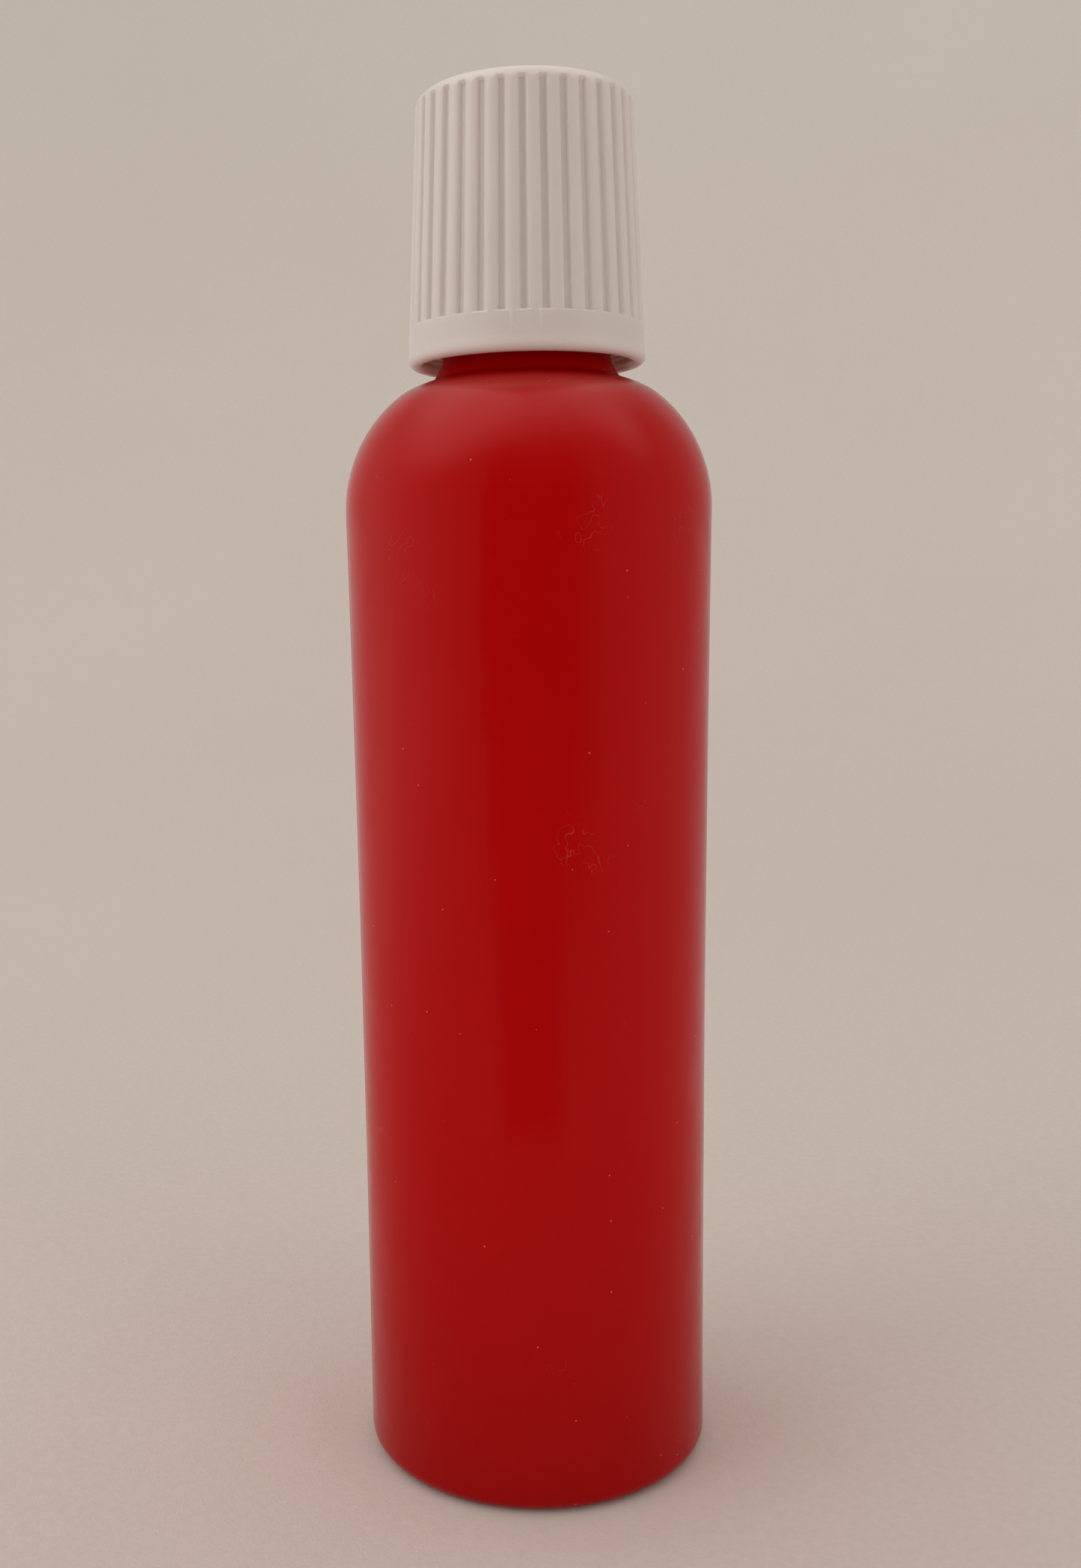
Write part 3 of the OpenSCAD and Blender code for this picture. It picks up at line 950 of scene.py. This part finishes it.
def room_level(azimuth, z, up):
    """How bright the room looks in the bottle's gloss: dark in front, a window each side, a bright ceiling.

    up is the elevation. The table gives the level at the height of the bottle for some azimuths.
    """
    level = level_at(azimuth, [
        (-180, 0.5), (-120, 0.62), (-90, 1.1), (-66, 1.0), (-45, 0.6), (-27, 0.35), (-24, 0.0),
        (22, 0.0), (37, 0.25), (47, 0.45), (75, 0.65), (90, 0.6), (105, 0.46), (180, 0.5),
    ])
    if z < DOME_Z:
        near_floor = 0.52 * max(smooth((-azimuth - 17) / 4), smooth((azimuth - 10) / 12))
        return near_floor + (level - near_floor) * smooth(z / 0.1)
    level += 0.01 * max(0, up - 12) * hump(azimuth, 0, 40)
    ceiling_from = 58 - 26 * hump(azimuth, -68, 38) - 22 * hump(azimuth, 80, 18)
    ceiling = 1.9 + 0.8 * hump(azimuth, -55, 50)
    return level + (ceiling - level) * smooth((up - ceiling_from) / 30 + 0.5)


def glow_shell(name, outline, span, level, tint, cover=None):
    """A shell round the object, or a part of one, that the camera can't see.

    outline is its section (r, z) and span its azimuths. level(azimuth, z, elevation) gives its brightness.
    cover(azimuth, z) makes it solid where it is 1 and clear where it is 0.
    """
    steps = round((span[1] - span[0]) / 3)
    verts, faces, shades, covers = [], [], [], []
    for i in range(steps + 1):
        azimuth = span[0] + (span[1] - span[0]) * i / steps
        a = math.radians(azimuth - 90)
        for r, z in outline:
            verts.append((r * math.cos(a), r * math.sin(a), z))
            shades.append(level(azimuth, z, math.degrees(math.atan2(z - DOME_Z, r))))
            covers.append(cover(azimuth, z) if cover else 1.0)
    count = len(outline)
    for i in range(steps):
        here = count * i
        ahead = count * (i + 1)
        faces += [(here + k, here + k + 1, ahead + k + 1, ahead + k) for k in range(count - 1)]
    mesh = bpy.data.meshes.new(name)
    mesh.from_pydata(verts, [], faces)
    for attribute, values in (("brightness", shades), ("cover", covers)):
        mesh.attributes.new(attribute, "FLOAT", "POINT").data.foreach_set("value", values)
    mat = bpy.data.materials.new(name)
    mat.use_nodes = True
    nodes, links = mat.node_tree.nodes, mat.node_tree.links
    nodes.remove(nodes["Principled BSDF"])
    glow = nodes.new("ShaderNodeEmission")
    glow.inputs["Color"].default_value = (*tint, 1)
    value = nodes.new("ShaderNodeAttribute")
    value.attribute_name = "brightness"
    links.new(value.outputs["Fac"], glow.inputs["Strength"])
    surface = glow.outputs["Emission"]
    if cover:
        solid = nodes.new("ShaderNodeAttribute")
        solid.attribute_name = "cover"
        mix = nodes.new("ShaderNodeMixShader")
        links.new(solid.outputs["Fac"], mix.inputs["Fac"])
        links.new(nodes.new("ShaderNodeBsdfTransparent").outputs["BSDF"], mix.inputs[1])
        links.new(surface, mix.inputs[2])
        surface = mix.outputs["Shader"]
    links.new(surface, nodes["Material Output"].inputs["Surface"])
    mesh.materials.append(mat)
    obj = bpy.data.objects.new(name, mesh)
    obj.visible_camera = False
    bpy.context.scene.collection.objects.link(obj)
    return obj


def level_at(x, table):
    """The value at x on the straight lines through a table of (x, value)."""
    for (x0, y0), (x1, y1) in zip(table, table[1:]):
        if x <= x1:
            return y0 + (y1 - y0) * (x - x0) / (x1 - x0)
    return table[-1][1]


def make_camera():
    """The camera stands a little below the cap and looks slightly down at the bottle. Angles in radians."""
    place = (0, -0.22081, 0.12218)
    pitch, yaw, roll = 0.1840, -0.0394, -0.0175
    ahead = Vector((math.sin(yaw) * math.cos(pitch), math.cos(yaw) * math.cos(pitch), -math.sin(pitch)))
    right = Vector((math.cos(yaw), -math.sin(yaw), 0))
    up = right.cross(ahead)
    turn = Matrix((right, up, -ahead)).transposed() @ Matrix.Rotation(roll, 3, "Z")
    camera = bpy.data.cameras.new("camera")
    camera.sensor_width = 36
    camera.lens = 36.66
    camera.shift_x = 0.0448
    camera.shift_y = 0.0686
    camera.clip_start = 0.01
    obj = bpy.data.objects.new("camera", camera)
    obj.matrix_world = Matrix.Translation(place) @ turn.to_4x4()
    bpy.context.scene.collection.objects.link(obj)
    bpy.context.scene.camera = obj


make_floor()
make_light()
make_camera()
bpy.context.scene.view_settings.view_transform = "Standard"
